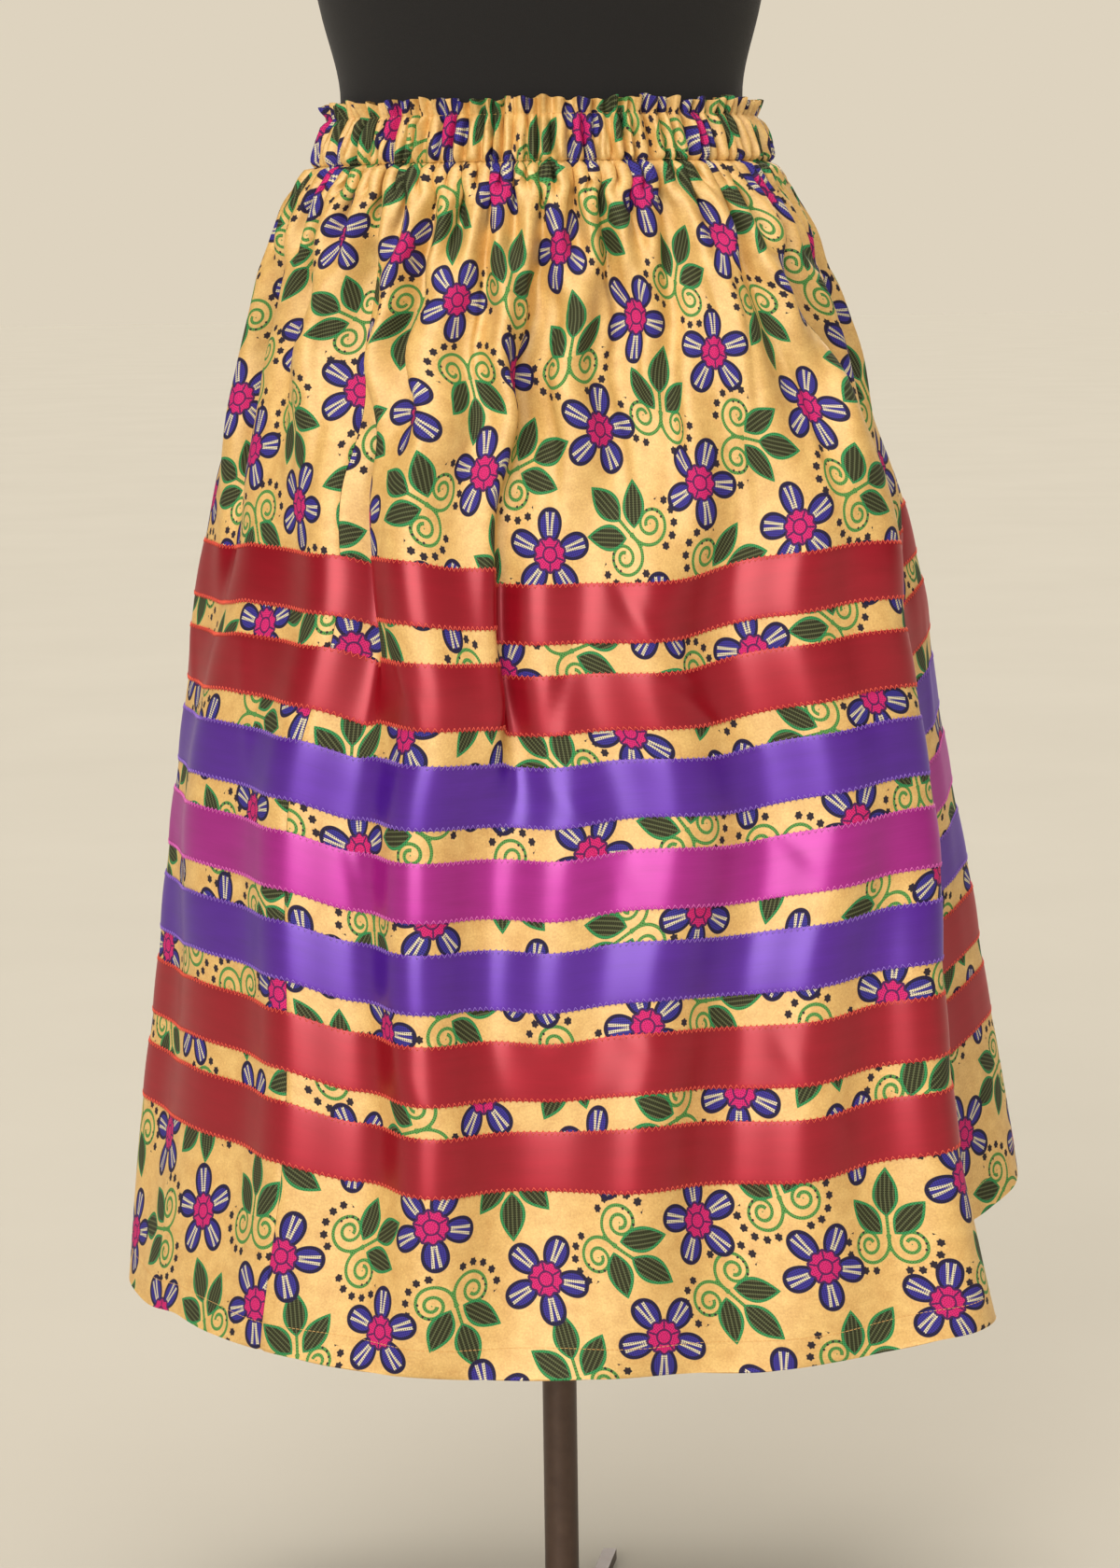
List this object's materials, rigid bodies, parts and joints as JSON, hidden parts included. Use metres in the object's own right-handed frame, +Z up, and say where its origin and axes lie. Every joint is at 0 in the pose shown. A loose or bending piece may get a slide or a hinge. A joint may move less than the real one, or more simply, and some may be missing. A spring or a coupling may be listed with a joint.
{
  "type": "ribbon skirt on dress form",
  "caption": "Gathered elastic-waist cotton skirt with satin ribbon bands, worn by a limbless dress form on a pole stand.",
  "frame": {"origin": "centre of the stand foot's underside, on the floor", "axes": "+Z up along the pole, -Y out of the middle of the skirt's front, +X towards the wearer's left"},
  "size_m": [0.6367, 0.4901, 1.535],
  "materials": {
    "print_cotton": "matt printed cotton",
    "satin_red": "satin",
    "satin_purple": "satin",
    "satin_magenta": "satin",
    "form_jersey": "matt jersey",
    "stand_metal": "dark brown, satin"
  },
  "bodies": {
    "root": {"skirt_front": "print_cotton", "skirt_back": "print_cotton", "waist_casing": "print_cotton", "ribbon_1": "satin_red", "ribbon_2": "satin_red", "ribbon_3": "satin_purple", "ribbon_4": "satin_magenta", "ribbon_5": "satin_purple", "ribbon_6": "satin_red", "ribbon_7": "satin_red", "form_torso": "form_jersey", "stand_pole": "stand_metal", "stand_collar": "stand_metal", "stand_foot": "stand_metal"}
  },
  "joints": []
}
